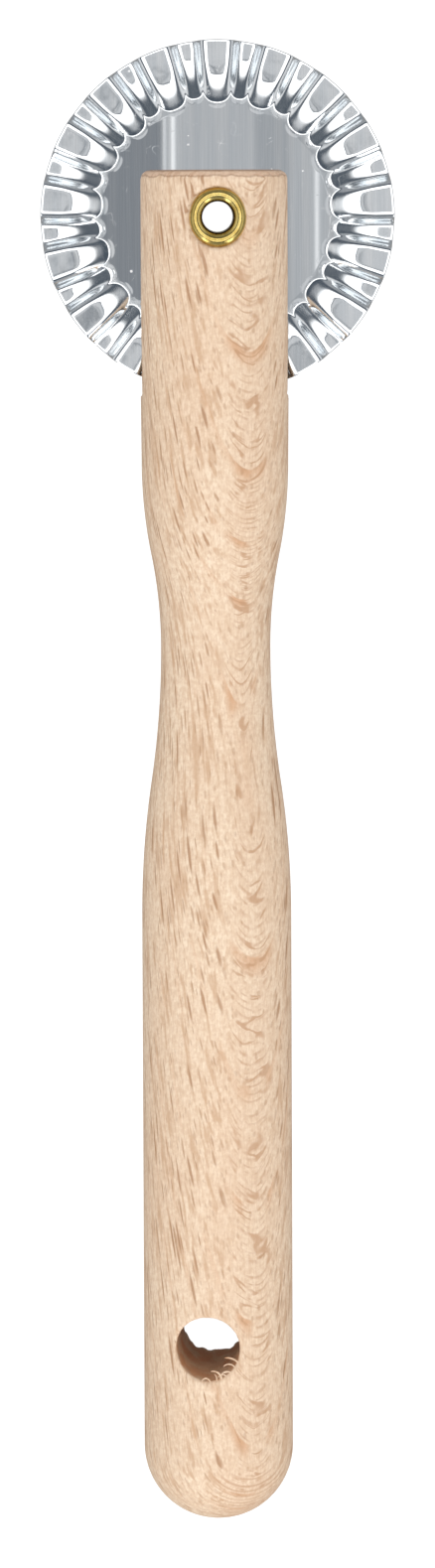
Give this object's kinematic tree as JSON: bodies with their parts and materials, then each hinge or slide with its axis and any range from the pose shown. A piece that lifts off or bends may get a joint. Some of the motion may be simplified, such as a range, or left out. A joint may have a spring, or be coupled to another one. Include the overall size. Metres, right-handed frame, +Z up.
{
  "type": "pastry cutter wheel",
  "caption": "Hand tool with a fluted metal wheel that turns on a hollow rivet in the forked end of a turned wooden handle, with a hanging hole in the tail.",
  "frame": {"origin": "centre of the bottom of the whole object's box, as the tool lies flat", "axes": "+Y along the handle towards the wheel, +Z up along the wheel's axle, +X to the right"},
  "size_m": [0.04, 0.1684, 0.0171],
  "materials": {
    "beech": "sanded bare beech",
    "polished_aluminium": "polished sheet with fine rolling lines",
    "brass": "bright rolled tube"
  },
  "bodies": {
    "handle": {"handle": "beech", "axle_rivet": "brass"},
    "wheel": {"cutting_wheel": "polished_aluminium"}
  },
  "joints": [
    {"name": "wheel_spin", "type": "hinge", "parent": "handle", "child": "wheel", "pos_m": [0, 0.06415, 0.00855], "axis": [0, 0, 1], "continuous": true}
  ]
}
